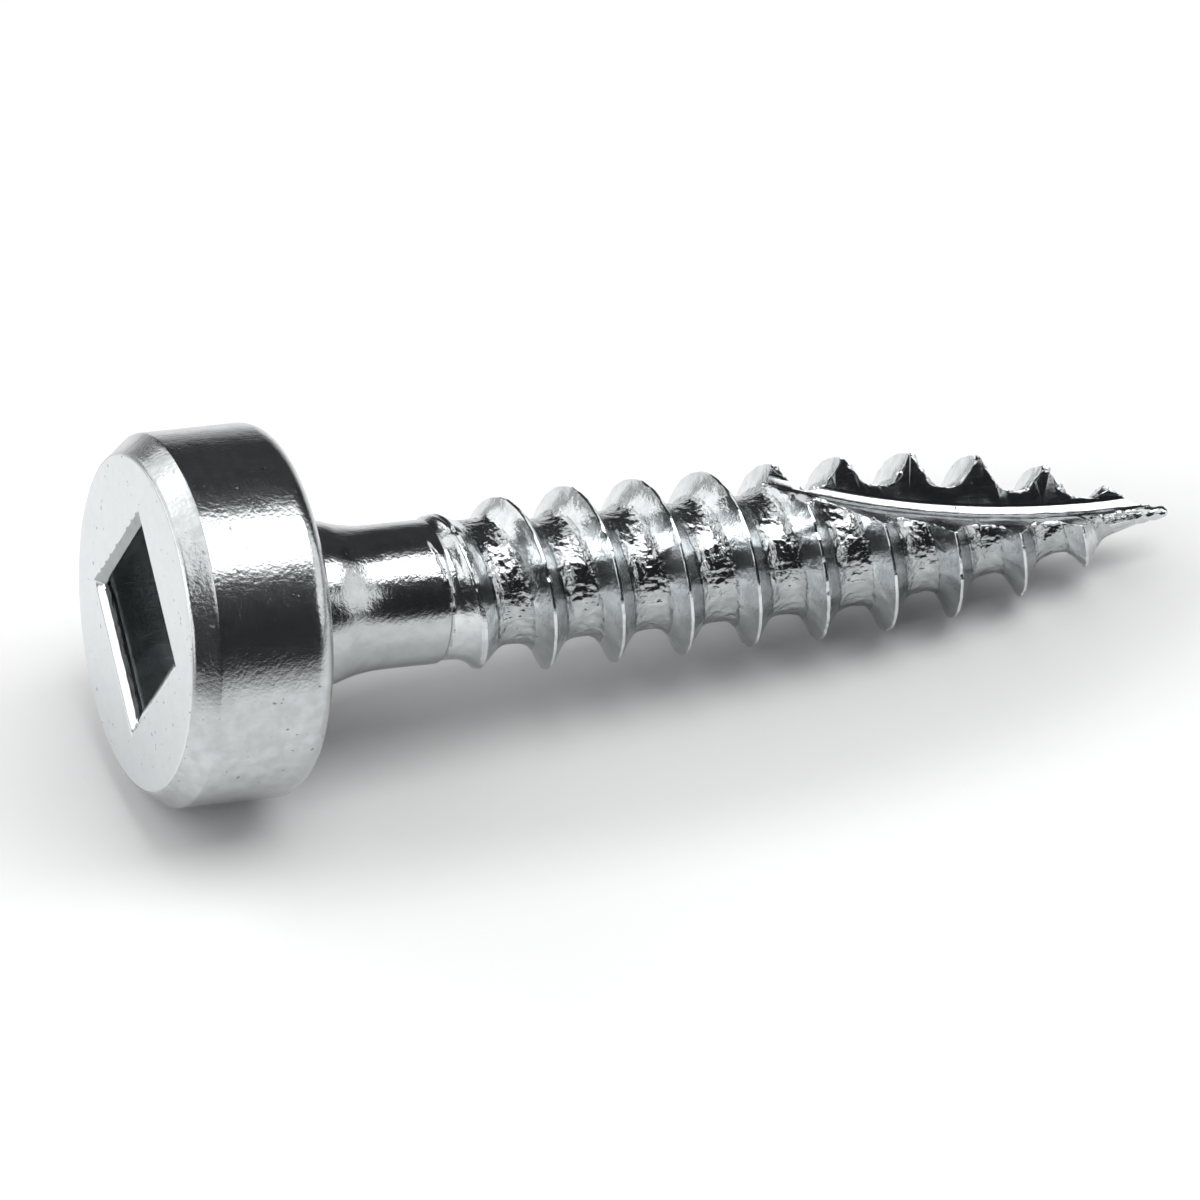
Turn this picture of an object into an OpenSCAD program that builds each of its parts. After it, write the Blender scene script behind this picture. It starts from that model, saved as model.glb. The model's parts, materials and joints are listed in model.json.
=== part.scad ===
// Pocket hole screw with a flat cylindrical head, a square drive and an auger point.
// It is one cold formed and thread rolled piece of steel wire, so it is one solid.
// The screw's own axis is Z while it is shaped: the bearing face under the head is at
// zero, the head is below it and the point is above. The finished screw is then laid
// down, so that the rim of its head and one thread crest rest on the plane Z = 0.

/* [Head] */
// Diameter of the cylindrical head
head_d = 7.3; // [6.4:0.1:8.4]
// Height of the head, from the bearing face to the driving face
head_h = 2.9; // [2.7:0.05:3.6]
// Width of the chamfer round the driving face
face_chamfer_w = 0.36; // [0.15:0.01:0.6]
// Length of that chamfer along the axis
face_chamfer_l = 0.5; // [0.2:0.02:0.8]
// Radius of the rounded rear edge of the head
rear_edge_r = 0.45; // [0.15:0.05:0.7]

/* [Square drive] */
// Turn of the square recess from the slot, about the screw's axis
square_turn = 6.5; // [0:0.5:89]
// Width of the square recess across its flats
square_w = 2.9; // [2.3:0.02:3.2]
// Depth of the square walls, from the driving face
square_depth = 2; // [1.3:0.05:2.2]
// Width of the flare round the mouth of the recess
flare_w = 0.23; // [0.08:0.01:0.4]
// Depth of that flare
flare_depth = 0.12; // [0.06:0.02:0.5]
// Depth of the cone that the punch leaves under the square walls
punch_cone_depth = 0.35; // [0.1:0.05:0.4]

/* [Shank] */
// Diameter of the plain shank
shank_d = 2.82; // [2.7:0.02:3.2]
// Length of the plain shank, from the bearing face
shank_len = 3.1; // [2.6:0.1:4.6]
// Length of the cone that ends the plain shank
shank_end_l = 0.3; // [0.15:0.05:0.5]
// Radius of the fillet between the bearing face and the shank
neck_fillet_r = 0.4; // [0.15:0.05:0.7]

/* [Thread] */
// Length of the screw under its head
screw_len = 18.5; // [16:0.05:21]
// Diameter over the thread crests
thread_d = 3.5; // [3.3:0.05:4]
// Diameter of the thread root
root_d = 2.38; // [2.1:0.02:2.6]
// Distance between neighbouring crests
thread_pitch = 1.411; // [1.2:0.001:1.6]
// Turn of the thread about the axis, which sets where the crests pass the slot
thread_turn = -31; // [-180:1:180]
// Width of the flat on a crest
crest_w = 0.09; // [0.05:0.01:0.14]
// Roundness of the thread valleys: the power by which they rise to the crests
valley_power = 2.4; // [1.6:0.1:3.2]
// Distance by which the crest starts inside the plain shank
crest_overlap_l = 0.55; // [0.4:0.05:1.2]
// Length over which the first turns grow to their full height
run_in_l = 2.8; // [1.5:0.1:4]
// Length of the tapered point, measured over the crests
point_l = 6.9; // [5:0.1:8]
// Radius that the point is blunted to, measured over the crests
blunt_r = 0.1; // [0.06:0.02:0.2]

/* [Auger slot] */
// Radius of the round cutter that mills the slot
cutter_r = 20; // [14:0.5:30]
// Length of the straight slot floor, back from the point
slot_straight_l = 1.35; // [0.5:0.05:4]
// Height of the slot floor above the axis
slot_floor_h = 0.16; // [0.05:0.01:0.5]
// Distance by which the slot's side wall lies past the axis
slot_wall_offset = 0.12; // [0:0.01:0.3]
// Radius of the corner between the slot's floor and its side wall
slot_corner_r = 0.2; // [0.05:0.05:0.4]
// Turn of the slot from the top of the lying screw, about the screw's axis
slot_turn = -24; // [-60:0.5:60]

/* [Hidden] */

// Steps round one turn of the thread, and round an exact circle
turn_steps = 32;
round_fn = 96;
// Steps in each rounded edge of the head
edge_steps = 8;
// Small overlap that keeps two joined solids from meeting face to face
overlap = 0.05;

head_r = head_d / 2;
shank_r = shank_d / 2;
crest_r = thread_d / 2;
root_r = root_d / 2;
face_r = head_r - face_chamfer_w;
steel = [0.74, 0.76, 0.78];
recess_grey = [0.5, 0.52, 0.55];

// Shares of the way from a valley's middle to a crest at which the profile has its points
flank_shares = [0.35, 0.6, 0.82];
flank_count = len(flank_shares);
flank_l = (thread_pitch - crest_w) / 2;
// Thread profile across one pitch: place from the crest's middle, in millimetres, and
// share of the full height. The valleys are round and the crest has a narrow flat.
ridge_profile = concat(
    [[-thread_pitch / 2, 0]],
    [for (share = flank_shares) [share * flank_l - thread_pitch / 2, pow(share, valley_power)]],
    [[-crest_w / 2, 1], [crest_w / 2, 1]],
    [for (i = [1 : flank_count])
        let (share = flank_shares[flank_count - i])
        [thread_pitch / 2 - share * flank_l, pow(share, valley_power)]]
);
ridge_points = len(ridge_profile);
// Numbers of the two profile points on the crest's flat
crest_places = [flank_count + 1, flank_count + 2];

// The thread starts two turns before the end of the plain shank, hidden inside it, and
// its last crest stops short of the point by a share of a pitch
thread_start = shank_len - 2 * thread_pitch + shank_end_l / 2;
thread_end = screw_len - 0.55 * thread_pitch;
thread_steps = floor((thread_end - thread_start) / thread_pitch * turn_steps);
fade_steps = turn_steps / 4;
// Steps over which the first valley opens from the shank's surface to its full depth
opening_steps = turn_steps * 0.4;

// Share of a taper that is left at a distance along it: 1 at its start, 0 at its end
function taper_left(z, start, end, power) =
    z <= start ? 1 : 1 - pow(min(1, (z - start) / (end - start)), power);

// Radius over the crests: it grows out of the plain shank, quickly at first, and later
// tapers to the point
function crest_radius(z) =
    let (run_in = sqrt(min(1, max(0, (z - shank_len + crest_overlap_l) / run_in_l))))
    let (grown = root_r + (crest_r - root_r) * run_in)
    blunt_r + (grown - blunt_r) * taper_left(z, screw_len - point_l, screw_len, 2.2);

// Radius of the root, which tapers over a little more length than the crests
function root_radius(z) =
    blunt_r / 2 + (root_r - blunt_r / 2) * taper_left(z, screw_len - point_l - 0.1, screw_len, 1.45);

// Share of its depth that a valley has at a step of the crest before it: the first valley
// opens behind the first crest, and ahead of that crest the wire is still plain shank
function valley_share(step) =
    let (crest_z = thread_start + thread_pitch * step / turn_steps)
    let (open = min(1, max(0, (crest_z - shank_len) / thread_pitch * turn_steps / opening_steps)))
    open * open * (3 - 2 * open);

// Radius at the foot of the ridge, at a step of the crest before the valley
function foot_radius(z, step) =
    let (plain_r = shank_r - overlap)
    plain_r + (root_radius(z) - plain_r) * valley_share(step);

// One point of the threaded surface, at a step along the helix and a place on the profile:
// the ridge fades out over the last steps
function thread_point(step, place) =
    let (z = thread_start + thread_pitch * step / turn_steps + ridge_profile[place][0])
    let (foot_r = foot_radius(z, ridge_profile[place][0] < 0 ? step - turn_steps : step))
    let (height = max(0, crest_radius(z) - foot_r) * min(1, (thread_steps - step) / fade_steps))
    let (r = foot_r + ridge_profile[place][1] * height)
    let (a = thread_turn + 360 * step / turn_steps)
    [r * cos(a), r * sin(a), z];

// Support height of the head's rounded rim under the axis, when the axis dips by a tilt
function rim_drop(tilt) =
    (head_r - rear_edge_r) * cos(tilt) - rear_edge_r * sin(tilt) + rear_edge_r;

// Support height of the lowest thread crest under the axis at the same tilt
function crest_drop(tilt) = max([
    for (step = [turn_steps : thread_steps])
    for (place = crest_places)
        let (p = thread_point(step, place))
        let (down = -p[0] * cos(slot_turn) + p[1] * sin(slot_turn))
        down * cos(tilt) + p[2] * sin(tilt)
]);

// Tilt at which the rim and the lowest crest touch the same plane, found by halving
function rest_tilt(low, high, tries) =
    let (mid = (low + high) / 2)
    tries == 0 ? mid
    : rim_drop(mid) > crest_drop(mid) ? rest_tilt(mid, high, tries - 1)
    : rest_tilt(low, mid, tries - 1);

tilt = rest_tilt(0, 20, 18);
lift = rim_drop(tilt);
low_x = min(-head_h * cos(tilt) - face_r * sin(tilt),
    -(head_h - face_chamfer_l) * cos(tilt) - head_r * sin(tilt));
high_x = screw_len * cos(tilt);

// Points of a quarter arc about a centre, from one angle to another
function arc(cx, cy, r, from, to) =
    [for (i = [0 : edge_steps]) let (a = from + (to - from) * i / edge_steps) [cx + r * cos(a), cy + r * sin(a)]];

// Head and plain shank in one turned profile: chamfered driving face, cylinder, rounded
// rear edge, flat bearing face, fillet, shank and the cone that ends it
module head_and_shank() {
    profile = concat(
        [[0, -head_h], [face_r, -head_h], [head_r, -head_h + face_chamfer_l]],
        arc(head_r - rear_edge_r, -rear_edge_r, rear_edge_r, 0, 90),
        arc(shank_r + neck_fillet_r, neck_fillet_r, neck_fillet_r, 270, 180),
        [[shank_r, shank_len], [root_r - overlap, shank_len + shank_end_l], [0, shank_len + shank_end_l]]
    );
    color(steel)
        rotate_extrude($fn = round_fn)
            polygon(profile);
}

// Threaded length: the ridge profile swept along the helix, closed at both ends on
// the axis. Its first turns lie inside the shank.
module threaded_length() {
    points = concat(
        [for (step = [0 : thread_steps]) for (place = [0 : ridge_points - 1]) thread_point(step, place)],
        [for (step = [thread_steps + 1 : thread_steps + turn_steps])
            let (z = thread_start + thread_pitch * (step / turn_steps - 0.5))
            let (a = thread_turn + 360 * step / turn_steps)
            [root_radius(z) * cos(a), root_radius(z) * sin(a), z]],
        [[0, 0, thread_start], [0, 0, screw_len]]
    );
    tail = (thread_steps + 1) * ridge_points;
    start_centre = tail + turn_steps;
    point_centre = start_centre + 1;
    // Number of the point at the near edge of a step, also past the last full step. The
    // far edge of each turn is the near edge of the next one.
    function edge(step) = step <= thread_steps ? step * ridge_points : tail + step - thread_steps - 1;
    function at(step, place) = place < ridge_points ? step * ridge_points + place : edge(step + turn_steps);
    faces = concat(
        [for (step = [0 : thread_steps - 1]) for (place = [0 : ridge_points - 1])
            [at(step, place), at(step, place + 1), at(step + 1, place + 1)]],
        [for (step = [0 : thread_steps - 1]) for (place = [0 : ridge_points - 1])
            [at(step, place), at(step + 1, place + 1), at(step + 1, place)]],
        [for (step = [0 : turn_steps - 1]) [start_centre, edge(step), edge(step + 1)]],
        [for (place = [0 : ridge_points - 1]) [start_centre, at(0, place + 1), at(0, place)]],
        [for (step = [thread_steps : thread_steps + turn_steps - 1]) [point_centre, edge(step + 1), edge(step)]],
        [for (place = [0 : ridge_points - 1]) [point_centre, at(thread_steps, place), at(thread_steps, place + 1)]]
    );
    color(steel)
        polyhedron(points = points, faces = faces);
}

// Square recess: straight walls, a flared mouth and the shallow cone of the punch
module drive_recess() {
    corner_r = square_w / sqrt(2);
    mouth_r = corner_r + flare_w * sqrt(2);
    color(recess_grey)
        translate([0, 0, -head_h]) rotate([0, 0, square_turn]) {
            cylinder(r = corner_r, h = square_depth, $fn = 4);
            translate([0, 0, -overlap])
                cylinder(r1 = mouth_r * (1 + overlap / 4), r2 = corner_r, h = flare_depth + overlap, $fn = 4);
            translate([0, 0, square_depth - overlap / 5])
                cylinder(r1 = square_w / 2 - overlap, r2 = overlap, h = punch_cone_depth, $fn = round_fn);
        }
}

// Space that a round cutter with a flat side clears: its rim leaves the slot floor, which
// runs out along the thread, its side leaves the wall just past the axis, and its worn
// corner leaves a small radius between them
module auger_slot() {
    straight_start = screw_len - slot_straight_l;
    reach = thread_d;
    rim_r = cutter_r - slot_corner_r;
    disc_section = concat(
        [[0, 0]],
        arc(rim_r, slot_corner_r, slot_corner_r, 270, 360),
        [[cutter_r, reach], [0, reach]]
    );
    slot_section = concat(
        arc(slot_corner_r, slot_corner_r, slot_corner_r, 180, 270),
        [[reach, 0], [reach, reach], [0, reach]]
    );
    color(steel)
        translate([slot_floor_h, -slot_wall_offset, straight_start]) {
            translate([cutter_r, 0, 0])
                rotate([-90, 0, 0])
                    rotate_extrude($fn = round_fn)
                        polygon(disc_section);
            linear_extrude(height = slot_straight_l + 1)
                polygon(slot_section);
        }
}

// The whole screw about its own axis
module upright_screw() {
    difference() {
        union() {
            head_and_shank();
            threaded_length();
        }
        drive_recess();
        auger_slot();
    }
}

// The screw laid down on its rim and lowest crest, centred over the origin
module screw() {
    translate([-(low_x + high_x) / 2, 0, lift])
        rotate([0, 90 + tilt, 0])
            rotate([0, 0, 180 + slot_turn])
                upright_screw();
}

screw();
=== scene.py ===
"""A pocket hole screw of zinc plated steel, lying on a pale floor."""

import json
import math

import bpy
import numpy as np
from mathutils import Matrix, Vector, noise


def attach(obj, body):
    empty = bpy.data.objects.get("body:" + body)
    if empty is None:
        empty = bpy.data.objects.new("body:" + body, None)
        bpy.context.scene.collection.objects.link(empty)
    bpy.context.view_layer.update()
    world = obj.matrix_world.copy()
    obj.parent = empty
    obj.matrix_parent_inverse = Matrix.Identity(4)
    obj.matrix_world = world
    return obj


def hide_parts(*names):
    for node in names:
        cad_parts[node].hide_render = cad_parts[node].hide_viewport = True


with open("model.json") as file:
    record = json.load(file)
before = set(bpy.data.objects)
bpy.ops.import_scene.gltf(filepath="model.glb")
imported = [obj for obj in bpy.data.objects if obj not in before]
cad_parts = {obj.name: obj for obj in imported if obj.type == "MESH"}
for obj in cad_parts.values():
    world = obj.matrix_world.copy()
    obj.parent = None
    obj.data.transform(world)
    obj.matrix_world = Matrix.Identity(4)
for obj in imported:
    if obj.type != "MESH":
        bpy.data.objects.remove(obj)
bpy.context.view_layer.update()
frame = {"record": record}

# Head and plain shank
# The screw is one length of steel wire, shaped here in millimetres about its own axis, with the
# bearing face under the head at height zero. Its end is upset cold in a die, which leaves a flat
# cylinder with a chamfered face, soft corners and a rounded rear edge, and draws the neck out wide.
head_radius = 3.65
head_height = 2.9
face_radius = 3.29
face_ring = 1.4
chamfer_length = 0.5
chamfer_corner = 0.05
rear_edge = 0.45
shank_radius = 1.41
shank_length = 3.1
shank_cone = 0.3
root_radius = 1.19
# Heights of the neck above the bearing face, and how much wider than the shank it is there.
neck = ((0, 0.5), (0.03, 0.42), (0.1, 0.35), (0.22, 0.3),
        (0.4, 0.27), (0.6, 0.245), (0.8, 0.215), (1.0, 0.18))
neck_reach = 2.0
neck_spread = 0.18
# Height, turn in degrees, size and depth of each dent.
dents = ((1.2, 37, 0.09, 0.02), (1.1, 63, 0.06, 0.012), (1.95, 20, 0.07, 0.01))
pitch = 1.411
thread_turn = math.radians(-31)
first_crest = shank_length + shank_cone / 2
die_edges = (0.63, 0.3)
die_edge_height = 0.04
die_edge_from = 2.5
die_edge_turns = 2.7
turned_steps = 168
ring_gap = 0.08
# How deep the steel of one part reaches into the next, so that they join.
sunk = 0.05


def solid(name, points, faces):
    """A mesh object made of points and faces."""
    mesh = bpy.data.meshes.new(name)
    mesh.from_pydata(points, [], faces)
    mesh.update()
    made = bpy.data.objects.new(name, mesh)
    bpy.context.scene.collection.objects.link(made)
    return made


def arc(centre, radius, start, end, steps):
    """Points of an arc in a turned profile, as (radius, height) pairs."""
    turns = np.radians(np.linspace(start, end, steps + 1))
    return [(centre[0] + radius * math.cos(t), centre[1] + radius * math.sin(t)) for t in turns]


def line(start, end, steps):
    """Points along a straight run of a turned profile, without its last point."""
    return [(start[0] + (end[0] - start[0]) * k / steps, start[1] + (end[1] - start[1]) * k / steps)
            for k in range(steps)]


def ring_faces(count, rows, start=0):
    """Faces between rings of points that follow one another, from the first ring's first point."""
    faces = []
    for row in range(rows - 1):
        low = start + row * count
        high = low + count
        faces += [(low + k, low + (k + 1) % count, high + (k + 1) % count, high + k) for k in range(count)]
    return faces


def fan(tip, start, count):
    """Faces from a ring of points to one tip beyond it."""
    return [(tip, start + k, start + (k + 1) % count) for k in range(count)]


def turned(name, profile, steps, relief):
    """A closed solid turned from a profile that starts and ends on the axis, with a relief on it."""
    turns = np.linspace(0, 2 * math.pi, steps, endpoint=False)
    rings = profile[1:-1]
    points = [(0, 0, profile[0][1])]
    for radius, height in rings:
        points += [(r * math.cos(t), r * math.sin(t), height)
                   for r, t in zip(radius + relief(radius, height, turns), turns)]
    points.append((0, 0, profile[-1][1]))
    last = len(points) - 1
    faces = [face[::-1] for face in fan(0, 1, steps)]
    faces += ring_faces(steps, len(rings), 1)
    faces += fan(last, last - steps, steps)
    return solid(name, points, faces)


def ramp(value, start, end):
    """Share of the way from a start to an end, held at 0 before it and at 1 after it."""
    return np.clip((value - start) / (end - start), 0, 1)


def turn_from(turns, middle):
    """Turns as seen from one of them, from minus to plus half a circle."""
    return np.mod(turns - middle + math.pi, 2 * math.pi) - math.pi


def die_edge(z, turn):
    """Height of the two small steps that the die's edge leaves before the first crest, near side."""
    behind = np.mod(turn - thread_turn, 2 * math.pi)
    gap = first_crest + pitch * behind / (2 * math.pi) - z
    shown = ramp(behind, 1.0, 1.3) * ramp(behind, 2.45, 2.1)
    ragged = 0.02 * np.sin(behind * 23) + 0.012 * np.sin(behind * 41 + 1)
    height = 0
    for edge in die_edges:
        height = height + ramp(gap - ragged, edge, edge - 0.05) * ramp(gap, edge - 0.27, edge - 0.05)
    return height * shown * die_edge_height


def shank_relief(radius, height, turns):
    """What the die's edge adds to the shank, and what the dents of handling take away."""
    if height > shank_length:
        return 0 * turns
    relief = die_edge(height, turns)
    for place, turn, size, depth in dents:
        off = turn_from(turns, math.radians(turn)) * shank_radius
        relief = relief - depth * np.exp(-(off ** 2 + (height - place) ** 2) / size ** 2)
    return relief


face_edge = face_radius - chamfer_corner
side_start = -head_height + chamfer_length
blank_profile = [(0, -head_height)]
blank_profile += line((face_ring, -head_height), (face_edge, -head_height), 10)
blank_profile += arc((face_edge, -head_height + chamfer_corner), chamfer_corner, -90, -36, 4)
blank_profile += line((face_radius + 0.02, -head_height + 0.03), (head_radius - 0.02, side_start - 0.04), 8)
blank_profile += arc((head_radius - chamfer_corner, side_start), chamfer_corner, -30, 0, 4)
blank_profile += line((head_radius, side_start + ring_gap), (head_radius, -rear_edge), 6)
blank_profile += arc((head_radius - rear_edge, -rear_edge), rear_edge, 0, 90, 14)
blank_profile += line((head_radius - rear_edge - ring_gap, 0), (shank_radius + neck[0][1] + ring_gap, 0), 8)
blank_profile += [(shank_radius + out, height) for height, out in neck]
blank_profile += [(shank_radius + neck_spread * (neck_reach - height) ** 2, height)
                  for height in np.linspace(neck[-1][0] + ring_gap, neck_reach, 16)]
blank_profile += line((shank_radius, neck_reach + ring_gap), (shank_radius, die_edge_from), 12)
blank_profile += line((shank_radius, die_edge_from), (shank_radius, shank_length), 24)
blank_profile += [(shank_radius, shank_length), (root_radius - sunk, shank_length + shank_cone)]
blank_profile += [(0, shank_length + shank_cone)]
screw = turned("screw_steel", blank_profile, turned_steps, shank_relief)

# Thread
# Flat dies roll the thread into the wire: they press a wide round valley and squeeze the
# metal up into a thin crest, which is still split where it starts. The point is rolled
# to a taper. The valleys stay scuffed, with the same die mark once in each turn.
screw_length = 18.5
crest_radius = 1.75
crest_overlap = 0.55
run_in = 2.8
valley_run_in = 0.4 * pitch
point_length = 6.9
point_radius = 0.1
crest_taper = 2.2
root_taper = 1.45
root_taper_lead = 0.1
crest_half = 0.03
split_half = 0.035
split_turns = 3.4
crest_groove = 0.008
crest_lean = 0.05
full_height = 0.3
nick_depth = 0.05
crease_place = 0.33
crease_height = 0.14
crease_width = 0.025
crease_depth = 0.007
strip_curve = 3
flank_hollow = 0.25
crumple = 0.018
mark_turn = math.radians(96)
mark_half = 0.21
mark_depth = 0.018
mark_strokes = (-0.08, 0.07)
stroke_width = 0.035

turn_steps = 160
thread_stop = 0.55
thread_start = first_crest - 2 * pitch
thread_end = screw_length - thread_stop * pitch
thread_steps = int((thread_end - thread_start) / pitch * turn_steps)


def left_of_taper(z, start, power):
    """Share of a taper that is left: 1 where it starts, 0 at the point."""
    return 1 - ramp(z, start, screw_length) ** power


def crests(z):
    """Radius over the crests along the screw."""
    crest_from = shank_length - crest_overlap
    grown = root_radius + (crest_radius - root_radius) * np.sqrt(ramp(z, crest_from, crest_from + run_in))
    return point_radius + (grown - point_radius) * left_of_taper(z, screw_length - point_length, crest_taper)


def roots(z):
    """Radius of the valley floor along the screw."""
    left = left_of_taper(z, screw_length - point_length - root_taper_lead, root_taper)
    return point_radius / 2 + (root_radius - point_radius / 2) * left


def opened(step):
    """Share of its depth that a valley has behind the crest at a step of the helix."""
    along = ramp(thread_start + pitch * step / turn_steps, shank_length, shank_length + valley_run_in)
    return along * along * (3 - 2 * along)


def uneven(points, grain, seed):
    """Smooth random numbers from about -1 to 1, one for each point, with a grain in millimetres."""
    places = (np.asarray(points) / grain + seed).tolist()
    return np.array([noise.noise(place) for place in places])


def valley_form(share):
    """Height of a valley's side, from its middle to a crest: a shallow strip, a crease and a hollow flank."""
    crease_share = crease_place / (pitch / 2 - crest_half)
    up = ramp(share, crease_share, 1)
    strip = crease_height * np.clip(share / crease_share, 0, 1) ** strip_curve
    return strip + (1 - crease_height) * ((1 - flank_hollow) * up + flank_hollow * up ** 2)


def die_mark(across_valley, along_turn):
    """Depth of the die's mark in a valley: a small frame with a few wavy strokes in it."""
    frame_share = np.maximum(np.abs(across_valley), np.abs(along_turn)) / mark_half
    edge = np.exp(-((frame_share - 1) / 0.2) ** 2)
    wave = along_turn + 0.025 * np.sin(across_valley * 24 + 1)
    strokes = sum(np.exp(-((wave - place) / stroke_width) ** 2) for place in mark_strokes)
    return mark_depth * (edge + strokes * (frame_share < 0.75))


def places_across(crease):
    """Places across one pitch with a crest in its middle, close together where it bends most."""
    half = np.concatenate([
        np.linspace(crest_half, 0.1, 3)[:-1], np.linspace(0.1, crease - 0.06, 5)[:-1],
        crease + np.array([-0.06, -0.03, 0, 0.025, 0.05, 0.09]), np.linspace(crease + 0.14, pitch / 2, 4)])
    return np.concatenate([-half[::-1], [0], half[:-1]])


def thread_points(places, crease):
    """Points of the thread's skin: a row of places across the pitch at each step of the helix."""
    step = np.arange(thread_steps + turn_steps + 1)[:, None]
    z = thread_start + pitch * step / turn_steps + places[None, :]
    turn = thread_turn + 2 * math.pi * step / turn_steps + 0 * z
    valley = opened(np.where(places < 0, step - turn_steps, step))
    foot = shank_radius - sunk + (roots(z) - shank_radius + sunk) * valley
    early = np.clip(split_turns - step / turn_steps, 0, 1)
    half_crest = crest_half + split_half * early
    share = np.clip(1 - (np.abs(places) - half_crest) / (pitch / 2 - half_crest), 0, 1)
    fade = np.clip((thread_steps - step) / (turn_steps / 4), 0, 1)
    height = np.maximum(crests(z) - foot, 0) * fade
    radius = foot + valley_form(share) * height
    skin = np.stack([radius * np.cos(turn), radius * np.sin(turn), z], -1).reshape(-1, 3)
    full = np.clip(height / full_height, 0, 1)
    radius -= np.exp(-((np.abs(places) - crease) / crease_width) ** 2) * crease_depth * full * valley
    radius -= crest_groove * (1 + 1.5 * early) * np.exp(-(places / (0.6 * half_crest)) ** 2) * full
    edge = np.where(step < die_edge_turns * turn_steps, die_edge(z, turn), 0)
    radius += edge * (places < 0) * (1 - share ** 2)
    rough = uneven(skin, (0.24, 0.24, 0.17), 5.3) + 0.45 * uneven(skin, (0.13, 0.13, 0.12), 8.9)
    radius += rough.reshape(radius.shape) * crumple * valley * np.clip(radius / 1.2, 0, 1)
    along_turn = turn_from(turn, mark_turn) * root_radius
    across_valley = places - np.sign(places + 0.001) * pitch / 2
    marked = valley * (share < 0.6) * np.clip(radius / 0.9 - 0.2, 0, 1)
    radius -= die_mark(across_valley, along_turn) * marked
    helix = np.stack([step[:, 0] / turn_steps * 11, 0 * step[:, 0], 0 * step[:, 0] + 2.7], -1)
    nicks = np.clip(uneven(helix, 0.31, 0.0) - 0.38, 0, 1)[:, None]
    radius -= nicks * nick_depth / 0.3 * share ** 9 * full
    lean = (uneven(helix, 2.3, 9.1)[:, None] * 0.03 - crest_lean) * share ** 4 * full
    return np.stack([radius * np.cos(turn), radius * np.sin(turn), z + lean], -1)


def threaded():
    """The thread as a solid: its skin, swept along the helix and closed at both ends on the axis."""
    crease = pitch / 2 - crease_place
    places = places_across(crease)
    points = thread_points(places, crease)
    count = len(places)
    rows = thread_steps + 1
    body = points[:rows].reshape(-1, 3)
    tail = points[rows:rows + turn_steps, 0]
    every = np.concatenate([body, tail, [[0, 0, thread_start], [0, 0, screw_length]]])
    start_centre = len(body) + turn_steps
    point_centre = start_centre + 1

    def near(k):
        return k * count if k < rows else len(body) + k - rows

    def at(k, place):
        return k * count + place if place < count else near(k + turn_steps)

    faces = [(at(k, j), at(k + 1, j), at(k + 1, j + 1), at(k, j + 1))
             for k in range(thread_steps) for j in range(count)]
    faces += [(start_centre, near(k + 1), near(k)) for k in range(turn_steps)]
    faces += [(start_centre, at(0, j), at(0, j + 1)) for j in range(count)]
    faces += [(point_centre, near(k), near(k + 1)) for k in range(thread_steps, thread_steps + turn_steps)]
    faces += [(point_centre, at(thread_steps, j + 1), at(thread_steps, j)) for j in range(count)]
    return solid("thread", every.tolist(), faces)


def joined(target, tool, how):
    """Joins a tool solid to the screw or cuts it away, and removes the tool."""
    change = target.modifiers.new(how, "BOOLEAN")
    change.operation = how
    change.solver = "MANIFOLD"
    change.object = tool
    bpy.context.view_layer.update()
    shaped = bpy.data.meshes.new_from_object(target.evaluated_get(bpy.context.evaluated_depsgraph_get()))
    target.modifiers.clear()
    target.data = shaped
    bpy.data.objects.remove(tool)


joined(screw, threaded(), "UNION")

# Nose of the point
# The rolled point isn't needle sharp: the dies pinch the wire off there, and the plating
# builds up on the end in a blunt nose with a few lumps.
nose_radius = 0.11
nose_length = 0.8
nose_lump = 0.015


def lumps(radius, height, turns):
    """Lumps of zinc round the nose."""
    return nose_lump * np.sin(3 * turns + 22 * height) * min(radius / nose_radius, 1)


nose_profile = [(0, screw_length - nose_length)]
nose_profile += line((1.8 * nose_radius, screw_length - nose_length + 0.02),
                     (nose_radius, screw_length - nose_radius), 10)
nose_profile += arc((0, screw_length - nose_radius), nose_radius, 0, 80, 5)
nose_profile += [(0, screw_length)]
joined(screw, turned("nose", nose_profile, 32, lumps), "UNION")

# Square recess
# A square punch is driven into the face while the head is cold. It leaves straight walls,
# a shallow cone at the bottom and a mouth that is pressed in, deepest on the side where
# the punch leant: there a thin torn burr hangs along the inner edge.
square_turn = math.radians(6.5)
square_half = 1.45
recess_depth = 2.0
cone_depth = 0.35
mouth_flare = 0.23
punch_corner = 0.004
# Depth of the pressed mouth at each side, and how far the burr hangs in from each side.
flare_depths = (0.1, 0.1, 0.17, 0.09)
burr = (0, 0, 0.035, 0.006)
flare_curve = 1.15
# Rings down the mouth by how torn they are, then past the burr by how far below it, how much it
# hangs in and how torn it is, then down the walls by depth and how torn they are.
flare_tears = (0, 0, 0, 0.1, 0.2, 0.4, 0.7, 1, 1)
burr_rings = ((0.02, 1, 1), (0.06, 0.8, 0.8), (0.1, 0, 0.5))
wall_rings = ((0.35, 0.1), (0.9, 0), (1.4, 0), (recess_depth, 0))


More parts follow.
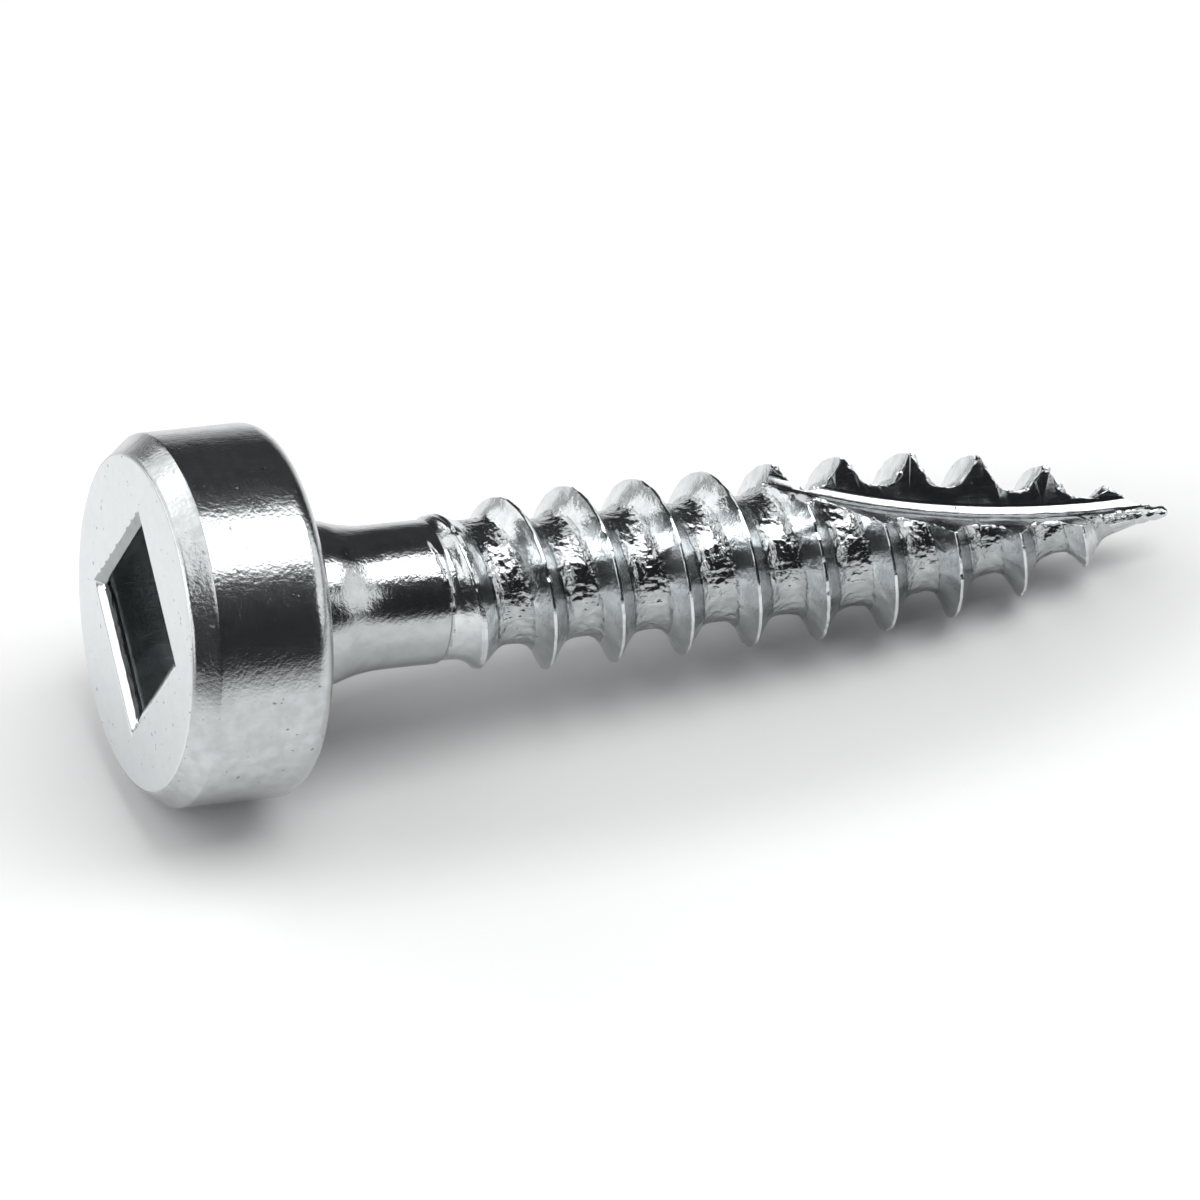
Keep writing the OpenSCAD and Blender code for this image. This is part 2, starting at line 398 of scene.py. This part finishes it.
def square_ring(spread, heights, side_points=30):
    """Points round a square, given each side's distance from the axis and its height."""
    ring = []
    for side in range(4):
        out = math.radians(45 + 90 * side) + square_turn
        before, after = spread[side - 1], spread[(side + 1) % 4]
        for k in range(side_points):
            along = -(before - punch_corner) + (before + after - 2 * punch_corner) * k / (side_points - 1)
            near_start, near_end = max(0, 1 - k / 3), max(0, 1 - (side_points - 1 - k) / 3)
            height = (heights[side] + (heights[side - 1] - heights[side]) * near_start / 2
                      + (heights[(side + 1) % 4] - heights[side]) * near_end / 2)
            ring.append((spread[side] * math.cos(out) - along * math.sin(out),
                         spread[side] * math.sin(out) + along * math.cos(out), height))
    return ring


def punch():
    """The space that the square punch leaves, with a torn edge along the burr."""
    rings = [square_ring([square_half + mouth_flare * 1.8] * 4, [-head_height - 0.1] * 4)]
    tears = [0]
    for share, tear in zip(np.linspace(0, 1, len(flare_tears)), flare_tears):
        rings.append(square_ring([square_half + mouth_flare * (1 - share)] * 4,
                                 [-head_height + depth * share ** flare_curve for depth in flare_depths]))
        tears.append(tear)
    for down, inward, tear in burr_rings:
        rings.append(square_ring([square_half - hang * inward for hang in burr],
                                 [-head_height + depth + down for depth in flare_depths]))
        tears.append(tear)
    for deep, tear in wall_rings:
        rings.append(square_ring([square_half] * 4, [-head_height + deep] * 4))
        tears.append(tear)
    count = len(rings[0])
    points = np.array([p for ring in rings for p in ring])
    torn = uneven(points, (0.09, 0.09, 0.3), 3.1) * np.repeat(tears, count)
    leant = np.tile(np.repeat(np.array(burr) + 0.004, count // 4), len(rings))
    points[:, :2] *= 1 + (torn * leant / square_half * 0.9)[:, None]
    points = points.tolist() + [(0, 0, -head_height + recess_depth + cone_depth)]
    faces = [tuple(range(count))[::-1]]
    faces += ring_faces(count, len(rings))
    faces += fan(len(points) - 1, (len(rings) - 1) * count, count)
    return solid("punch", points, faces)


def bead(name, rim, closed, step, thin, thick):
    """A ragged bead of torn steel along an edge, in steps of its length."""
    rim = np.vstack([rim, rim[:1]]) if closed else rim
    along = np.concatenate([[0], np.cumsum(np.linalg.norm(np.diff(rim, axis=0), axis=1))])
    count = int(along[-1] / step)
    stops = np.linspace(0, along[-1], count, endpoint=not closed)
    path = np.stack([np.interp(stops, along, rim[:, k]) for k in range(3)], -1)
    thickness = thin + thick * np.clip(uneven(path, (0.16, 0.16, 0.16), 1.7) + 0.12, 0, 1)
    path += np.stack([uneven(path, (0.2, 0.2, 0.2), seed) for seed in (4.4, 7.7, 2.2)], -1) * 0.02
    ahead = np.roll(path, -1, 0) - np.roll(path, 1, 0)
    if not closed:
        ahead[0] = path[1] - path[0]
        ahead[-1] = path[-1] - path[-2]
    ahead /= np.linalg.norm(ahead, axis=1)[:, None]
    side = np.cross(ahead, (0.3, 0.4, 0.05))
    side /= np.linalg.norm(side, axis=1)[:, None]
    rise = np.cross(ahead, side)
    sides = 6
    points = []
    for k in range(sides):
        turn = 2 * math.pi * k / sides
        points.append(path + (side * math.cos(turn) + rise * math.sin(turn)) * thickness[:, None])
    points = np.stack(points, 1).reshape(-1, 3).tolist()
    faces = ring_faces(sides, count)
    last = (count - 1) * sides
    if closed:
        faces += [(last + j, last + (j + 1) % sides, (j + 1) % sides, j) for j in range(sides)]
    else:
        faces += [tuple(range(sides))[::-1], tuple(range(last, last + sides))]
    return solid(name, points, faces)


joined(screw, punch(), "DIFFERENCE")
burr_out = math.radians(225) + square_turn
burr_height = -head_height + flare_depths[2] + 0.012
burr_edge = np.array([(square_half * math.cos(burr_out) - along * math.sin(burr_out),
                       square_half * math.sin(burr_out) + along * math.cos(burr_out), burr_height)
                      for along in np.linspace(-1.4, 1.4, 60)])
recess_burr = bead("recess_burr", burr_edge, closed=False, step=0.03, thin=0.012, thick=0.07)
joined(screw, recess_burr, "UNION")

# Auger slot
# After rolling, a round cutter with a flat side mills a slot from the point back through
# the last turns. Its side leaves a wall just past the axis, and its rim a floor that
# runs out in a long arc.
cutter_radius = 20.0
straight_length = 1.35
slot_floor = 0.16
slot_wall = -0.12
slot_corner = 0.2
# Points round the worn corner: how far above the floor and how far out from the wall.
worn_corner = ((0, 0.17), (0.006, 0.135), (0.022, 0.11), (0.142, 0.02), (0.17, 0.005), (0.21, 0))
slot_reach = 3.0
slot_from = 9.5
straight_from = screw_length - straight_length


def floor_of_slot(z):
    """Distance of the slot's floor from the axis along the screw: straight, then the cutter's arc."""
    back = np.maximum(straight_from - z, 0)
    return slot_floor + cutter_radius - np.sqrt(cutter_radius ** 2 - back ** 2)


def cutter():
    """The space that the round cutter clears, lofted along the screw."""
    stations = straight_from - cutter_radius * np.sin(np.radians(np.linspace(28, 0, 57)))
    stations = [*stations, straight_from + straight_length * 0.5, screw_length + 0.5]
    points = []
    for z in stations:
        floor = floor_of_slot(z)
        ring = [(floor + slot_reach, slot_wall), (floor + slot_reach, slot_reach), (floor, slot_reach)]
        ring += [(floor + up, slot_wall + out) for up, out in worn_corner]
        points += [(x, y, z) for x, y in ring]
    count = len(worn_corner) + 3
    faces = [tuple(range(count))[::-1]]
    faces += ring_faces(count, len(stations))
    faces.append(tuple(range(len(points) - count, len(points))))
    return solid("cutter", points, faces)


def milled_faces(mesh):
    """Which faces of the screw are the slot's own: its wall, its worn corner and its floor."""
    centres = np.empty(len(mesh.polygons) * 3)
    mesh.polygons.foreach_get("center", centres)
    x, y, z = centres.reshape(-1, 3).T
    floor = floor_of_slot(np.maximum(z, slot_from))
    wall = (np.abs(y - slot_wall) < 0.003) & (x > floor)
    bottom = (np.abs(x - floor) < 0.004) & (y > slot_wall)
    corner = (x > floor - 0.001) & (x < floor + slot_corner)
    corner &= (y > slot_wall - 0.001) & (y < slot_wall + slot_corner)
    return (wall | bottom | corner) & (z > slot_from)


def slot_rim(mesh):
    """Points in order round the rim of the milled slot."""
    milled = milled_faces(mesh)
    beside = {}
    for face, cut in zip(mesh.polygons, milled):
        for edge in face.edge_keys:
            beside.setdefault(edge, []).append(cut)
    ways = {}
    for (a, b), sides in beside.items():
        if sum(sides) == 1:
            ways.setdefault(a, []).append(b)
            ways.setdefault(b, []).append(a)
    rims = []
    while ways:
        start = next(iter(ways))
        rim, here = [start], start
        while True:
            onward = [k for k in ways.get(here, []) if k in ways and k != here]
            if not onward:
                ways.pop(here, None)
                break
            following = onward[0]
            ways[here].remove(following)
            ways[following].remove(here)
            if not ways[here]:
                ways.pop(here)
            here = following
            if here == start:
                break
            rim.append(here)
        if len(rim) > 60:
            rims.append(np.array([mesh.vertices[k].co for k in rim]))
    return max(rims, key=len)


joined(screw, cutter(), "DIFFERENCE")
slot_burr = bead("slot_burr", slot_rim(screw.data), closed=True, step=0.03, thin=0.01, thick=0.085)
joined(screw, slot_burr, "UNION")

# Lie of the screw
# The finished screw is laid down where the frame has it, on the rim of its head and one
# crest, turned about its axis so that the slot faces up and to the front.
mm = 0.001
slot_turn = math.radians(-24)
side_middle = -(head_height - chamfer_length + rear_edge) / 2
head_mount = next(m for m in frame["record"]["mounts"] if m["name"] == "head_side")
axis = Vector(head_mount["axis"]).normalized()
bearing_centre = Vector(head_mount["pos_m"]) - axis * side_middle * mm
top = Vector((axis.z * -1, 0, axis.x))
across = axis.cross(top)
slot_way = top * math.cos(slot_turn) + across * math.sin(slot_turn)
floor_way = axis.cross(slot_way)
lie = Matrix.Translation(bearing_centre) @ Matrix(
    ((slot_way.x, floor_way.x, axis.x, 0),
     (slot_way.y, floor_way.y, axis.y, 0),
     (slot_way.z, floor_way.z, axis.z, 0),
     (0, 0, 0, 1))
) @ Matrix.Scale(mm, 4)

# Zinc plating
# The finished screw is barrel plated with bright zinc: a thin silvery coat with a faint cold cast that
# follows every scuff of the steel under it. It is smoothest on the milled slot and finely pitted on the head.
# On the head's side, the shank, the valleys, in the recess, on the upper lip of the mouth and on the torn
# edge its tone is lowered as painted shade.
zinc_colour = (0.76, 0.79, 0.803)


def zinc(name, tone_and_shade, roughness, grain, grain_depth, wave, wave_depth, pits=0, dull=0.1):
    """Bright zinc: tone, lowered on some parts as painted shade, and gloss, a fine grain and a coarser wave
    in millimetres, pits and dull patches.
    """
    finish = bpy.data.materials.new(name)
    finish.use_nodes = True
    nodes, links = finish.node_tree.nodes, finish.node_tree.links
    shader = nodes["Principled BSDF"]
    shader.inputs["Metallic"].default_value = 1
    shader.inputs["Roughness"].default_value = roughness
    place = nodes.new("ShaderNodeTexCoord")
    own = nodes.new("ShaderNodeMapping")
    back = lie.inverted()
    own.inputs["Scale"].default_value = (1 / mm,) * 3
    own.inputs["Rotation"].default_value = back.to_euler("XYZ")
    own.inputs["Location"].default_value = back.translation
    links.new(place.outputs["Object"], own.inputs["Vector"])

    def texture(size, detail):
        stretch = nodes.new("ShaderNodeVectorMath")
        stretch.operation = "DIVIDE"
        stretch.inputs[1].default_value = size if isinstance(size, tuple) else (size,) * 3
        links.new(own.outputs["Vector"], stretch.inputs[0])
        made = nodes.new("ShaderNodeTexNoise")
        made.inputs["Scale"].default_value = 1
        made.inputs["Detail"].default_value = detail
        links.new(stretch.outputs["Vector"], made.inputs["Vector"])
        return made.outputs["Fac"]

    def bumped(height, depth, under):
        bump = nodes.new("ShaderNodeBump")
        bump.inputs["Strength"].default_value = 1
        bump.inputs["Distance"].default_value = depth * mm
        links.new(height, bump.inputs["Height"])
        if under:
            links.new(under, bump.inputs["Normal"])
        return bump.outputs["Normal"]

    normal = bumped(texture(wave, 1), wave_depth, None)
    normal = bumped(texture(grain, 3), grain_depth, normal)
    pitted = nodes.new("ShaderNodeMapRange")
    pitted.inputs["From Min"].default_value = 0.76 - pits
    pitted.inputs["From Max"].default_value = 0.81 - pits
    links.new(texture(0.13, 1), pitted.inputs["Value"])
    normal = bumped(pitted.outputs["Result"], -0.003, normal)
    links.new(normal, shader.inputs["Normal"])
    cast = nodes.new("ShaderNodeMix")
    cast.data_type = "RGBA"
    cast.inputs["A"].default_value = [c * tone_and_shade for c in zinc_colour] + [1]
    cast.inputs["B"].default_value = [c * tone_and_shade * 0.45 for c in zinc_colour] + [1]
    links.new(pitted.outputs["Result"], cast.inputs["Factor"])
    film = nodes.new("ShaderNodeMapRange")
    film.inputs["From Min"].default_value = 0.35
    film.inputs["From Max"].default_value = 0.65
    film.inputs["To Min"].default_value = 1 - dull
    film.inputs["To Max"].default_value = 1 + dull / 4
    links.new(texture(0.28, 4), film.inputs["Value"])
    dulled = nodes.new("ShaderNodeVectorMath")
    dulled.operation = "SCALE"
    links.new(cast.outputs["Result"], dulled.inputs[0])
    links.new(film.outputs["Result"], dulled.inputs["Scale"])
    links.new(dulled.outputs["Vector"], shader.inputs["Base Color"])
    return finish


finishes = {
    # Painted shade: the head's side, the shank and the valleys get lower tones, darker copies of the zinc for
    # the shaded floor they reflect.
    "side": zinc("zinc_on_head_side_painted_shade", 0.73, 0.2, 0.075, 0.006, 0.4, 0.006, pits=0.02, dull=0.13),
    "face": zinc("zinc_on_face", 0.99, 0.28, 0.05, 0.004, 0.5, 0.004, pits=0.04, dull=0.03),
    # Painted shade: a lower tone on the shank.
    "shank": zinc("zinc_on_shank_painted_shade", 0.68, 0.17, 0.07, 0.006, 0.35, 0.009),
    "thread": zinc("zinc_on_thread", 0.94, 0.17, 0.07, 0.006, 0.2, 0.006, dull=0.14),
    # Painted shade: a lower tone in the valleys.
    "valley": zinc("zinc_in_valleys_painted_shade", 0.68, 0.15, 0.1, 0.02, 0.2, 0.03, dull=0.2),
    # Painted shade: the zinc in the recess is darkened for the shade inside it.
    "recess": zinc("zinc_in_recess_painted_shade", 0.7, 0.2, (0.08, 0.08, 0.4), 0.006, (0.3, 0.3, 0.8), 0.01),
    "slot": zinc("zinc_in_slot", 0.62, 0.14, (0.05, 0.05, 0.3), 0.002, (0.4, 0.4, 0.8), 0.008),
    "mouth": zinc("zinc_on_mouth", 1.05, 0.12, 0.05, 0.002, 0.3, 0.003, dull=0.02),
    # Painted shade: the upper lip of the mouth is darkened for the shaded floor it reflects.
    "lip": zinc("zinc_on_upper_lip_painted_shade", 0.5, 0.25, 0.05, 0.004, 0.3, 0.004),
    # Painted shade: the torn edge is made near black for the shade in the undercut below the burr.
    "torn": zinc("torn_edge_painted_shade", 0.12, 0.35, 0.05, 0.01, 0.2, 0.01, dull=0.3),
}
screw.data.materials.clear()
for finish in finishes.values():
    screw.data.materials.append(finish)


def finish_numbers(mesh):
    """Number of the finish for each face, told by where the face lies on the screw."""
    centres = np.empty(len(mesh.polygons) * 3)
    mesh.polygons.foreach_get("center", centres)
    x, y, z = centres.reshape(-1, 3).T
    out = np.hypot(x, y)
    turn = square_turn + math.pi / 4
    u = x * math.cos(turn) + y * math.sin(turn)
    v = y * math.cos(turn) - x * math.sin(turn)
    from_middle = np.maximum(np.abs(u), np.abs(v))
    names = np.full(len(x), "thread", dtype=object)
    names[(out < roots(z) + 0.13) & (z > shank_length + 0.7) & (z < screw_length - 1)] = "valley"
    names[z < shank_length + 0.1] = "shank"
    names[z < 0.02] = "side"
    names[(z < -head_height + 0.02) & (out < face_radius)] = "face"
    mouth = (from_middle < square_half + mouth_flare) & (z > -head_height + 0.003) & (z < 0)
    names[mouth] = "mouth"
    # Painted shade: the upper lip gets its darkened finish.
    names[mouth & (-v > np.abs(u))] = "lip"
    # Painted shade: the recess gets its darkened finish.
    names[mouth & (from_middle < square_half + 0.01)] = "recess"
    on_edge = (np.abs(u + square_half) < 0.09) & (np.abs(v) < square_half)
    # Painted shade: the torn edge under the burr gets its near black finish.
    names[on_edge & (np.abs(z - burr_height) < 0.07)] = "torn"
    names[milled_faces(mesh)] = "slot"
    order = list(finishes)
    return np.array([order.index(name) for name in names], dtype=np.int32)


numbers = finish_numbers(screw.data)
screw.data.transform(lie)
screw.data.polygons.foreach_set("material_index", numbers)
screw.data.update()
screw.data.shade_smooth()
screw.data.set_sharp_from_angle(angle=math.radians(40))
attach(screw, "root")
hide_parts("screw")

# Floor
# A sheet of white paper, flat under the screw, with its far edge turned up a little. Away from the screw it
# fades into a plain white ground, and further off its colour is greyed as painted shade.
floor_radius = 0.5
floor_sides = 96
floor_rings = 24
edge_height = 0.025
edge_start = 0.4
floor_points = [(0, 0, 0)]
for ring in range(1, floor_rings + 1):
    out = floor_radius * ring / floor_rings
    rise = max(0, (out - edge_start) / (floor_radius - edge_start)) ** 2 * edge_height
    floor_points += [(out * math.cos(t), out * math.sin(t), rise * max(0, math.sin(t)))
                     for t in np.linspace(0, 2 * math.pi, floor_sides, False)]
floor_faces = fan(0, 1, floor_sides)
floor_faces += [face[::-1] for face in ring_faces(floor_sides, floor_rings, 1)]
paper = solid("paper_floor", floor_points, floor_faces)
paper.data.shade_smooth()


def white_paper(albedo, far_shaded_albedo, ground, front, length, width, lit_radius):
    """Matt white paper: a white ground round the screw, and far off a grey colour painted as the shade beyond
    the lamps' reach.
    """
    finish = bpy.data.materials.new("white_paper")
    finish.use_nodes = True
    nodes, links = finish.node_tree.nodes, finish.node_tree.links
    shader = nodes["Principled BSDF"]
    shader.inputs["Roughness"].default_value = 0.9
    shader.inputs["Specular IOR Level"].default_value = 0.2
    shader.inputs["Emission Color"].default_value = (1, 1, 1, 1)
    place = nodes.new("ShaderNodeTexCoord")

    def vector_math(operation, vector, other=None):
        node = nodes.new("ShaderNodeVectorMath")
        node.operation = operation
        links.new(vector, node.inputs[0])
        if other:
            node.inputs[1].default_value = other
        return node

    def smooth_range(value, start, end, first, last):
        node = nodes.new("ShaderNodeMapRange")
        node.interpolation_type = "SMOOTHSTEP"
        node.inputs["From Min"].default_value = start
        node.inputs["From Max"].default_value = end
        node.inputs["To Min"].default_value = first
        node.inputs["To Max"].default_value = last
        links.new(value, node.inputs["Value"])
        return node.outputs["Result"]

    def plain_math(operation, first, second):
        node = nodes.new("ShaderNodeMath")
        node.operation = operation
        links.new(first, node.inputs[0])
        links.new(second, node.inputs[1])
        return node.outputs["Value"]

    before = vector_math("ADD", place.outputs["Object"], (0, front, 0))
    share = vector_math("DIVIDE", before.outputs["Vector"], (length, width, 1))
    away = vector_math("LENGTH", share.outputs["Vector"])
    far = vector_math("LENGTH", place.outputs["Object"])
    fade = smooth_range(away.outputs["Value"], 0.9, 1.7, 0, ground)
    lit = smooth_range(far.outputs["Value"], lit_radius, 2.5 * lit_radius, 1, 0)
    # Painted shade: the paper's colour greys away from the screw.
    tone_and_shade = nodes.new("ShaderNodeMix")
    tone_and_shade.data_type = "RGBA"
    tone_and_shade.inputs["A"].default_value = (far_shaded_albedo, far_shaded_albedo, far_shaded_albedo, 1)
    tone_and_shade.inputs["B"].default_value = (albedo, albedo, albedo, 1)
    links.new(lit, tone_and_shade.inputs["Factor"])
    links.new(tone_and_shade.outputs["Result"], shader.inputs["Base Color"])
    rays = nodes.new("ShaderNodeLightPath")
    seen = plain_math("MAXIMUM", rays.outputs["Is Camera Ray"], rays.outputs["Is Glossy Ray"])
    seen = plain_math("MAXIMUM", seen, rays.outputs["Is Transmission Ray"])
    strength = plain_math("MULTIPLY", plain_math("MULTIPLY", fade, lit), seen)
    links.new(strength, shader.inputs["Emission Strength"])
    return finish


paper.data.materials.append(white_paper(albedo=0.83, far_shaded_albedo=0.38, ground=0.2, front=0.5 * mm,
                                        length=9.5 * mm, width=3.6 * mm, lit_radius=20 * mm))

# Lamps
# Soft boxes hang overhead and stand low at the back, left and right, with dark gaps left
# between them. The room round them is dark, which gives bright metal its dark bands.
room = bpy.data.worlds.new("dark_room")
bpy.context.scene.world = room
room.use_nodes = True
room.node_tree.nodes["Background"].inputs["Color"].default_value = (0.022, 0.023, 0.025, 1)
room.node_tree.nodes["Background"].inputs["Strength"].default_value = 1
ceiling = 1.5


def soft_box(name, place, aim, width, depth, watts):
    """A rectangular soft box at a place, facing a point."""
    lamp = bpy.data.lights.new(name, "AREA")
    lamp.shape = "RECTANGLE"
    lamp.size = width
    lamp.size_y = depth
    lamp.energy = watts
    box = bpy.data.objects.new(name, lamp)
    bpy.context.scene.collection.objects.link(box)
    box.location = place
    box.rotation_euler = (Vector(aim) - Vector(place)).to_track_quat("-Z", "Y").to_euler()


def hung_box(name, left, right, front, back, radiance):
    """A soft box hung level, from its edges as shares of its height, and how bright it looks."""
    middle = Vector(((left + right) / 2 * ceiling, (front + back) / 2 * ceiling, ceiling))
    width, depth = (right - left) * ceiling, (back - front) * ceiling
    soft_box(name, middle, (middle.x, middle.y, 0), width, depth, radiance * math.pi * width * depth)


hung_box("overhead_box", -0.1, 1.2, -0.48, 0.2, 3.3)
hung_box("back_box", -0.4, 0.3, 0.24, 0.9, 1.2)
hung_box("left_box", -1.05, -0.42, -0.95, 1.6, 1.4)
soft_box("back_left_low_box", (-1.5, 1.3, 0.85), (0, 0, 0), 3.0, 1.5, 18)
soft_box("left_low_box", (-1.9, -0.1, 0.33), (0, 0, 0), 1.4, 0.66, 4.4)
soft_box("back_right_glow", (0.9, 1.5, 0.75), (0, 0, 0), 1.7, 1.2, 0.2)
soft_box("right_box", (1.65, -0.5, 0.62), (0, 0, 0), 1.7, 1.05, 6.8)

# Camera
# A long lens looks down on the screw from the head's side, as in the photograph. Its aim
# puts the middle of the bearing face on that face's place in the photograph.
azimuth = math.radians(-18.6)
elevation = math.radians(40.84)
roll = math.radians(-0.15)
lens = 1000
sensor_width = 36
pixels_per_mm = 51.67
frame_pixels = 1200
bearing_pixel = (276.1, 607.0)
toward_camera = Vector((math.cos(elevation) * math.sin(azimuth), -math.cos(elevation) * math.cos(azimuth),
                        math.sin(elevation)))
right = Vector((math.cos(azimuth), math.sin(azimuth), 0))
up = toward_camera.cross(right)
distance = lens / sensor_width * frame_pixels / pixels_per_mm * mm
middle = frame_pixels / 2
aim = (bearing_centre - right * ((bearing_pixel[0] - middle) / pixels_per_mm * mm)
       + up * ((bearing_pixel[1] - middle) / pixels_per_mm * mm))
camera_data = bpy.data.cameras.new("camera")
camera_data.lens = lens
camera_data.sensor_width = sensor_width
camera_data.clip_start = 0.01
camera_data.clip_end = 10
camera = bpy.data.objects.new("camera", camera_data)
bpy.context.scene.collection.objects.link(camera)
camera.location = aim + toward_camera * distance
look = (-toward_camera).to_track_quat("-Z", "Y").to_matrix() @ Matrix.Rotation(roll, 3, "Z")
camera.rotation_euler = look.to_euler()
bpy.context.scene.camera = camera
bpy.context.scene.view_settings.view_transform = "Standard"
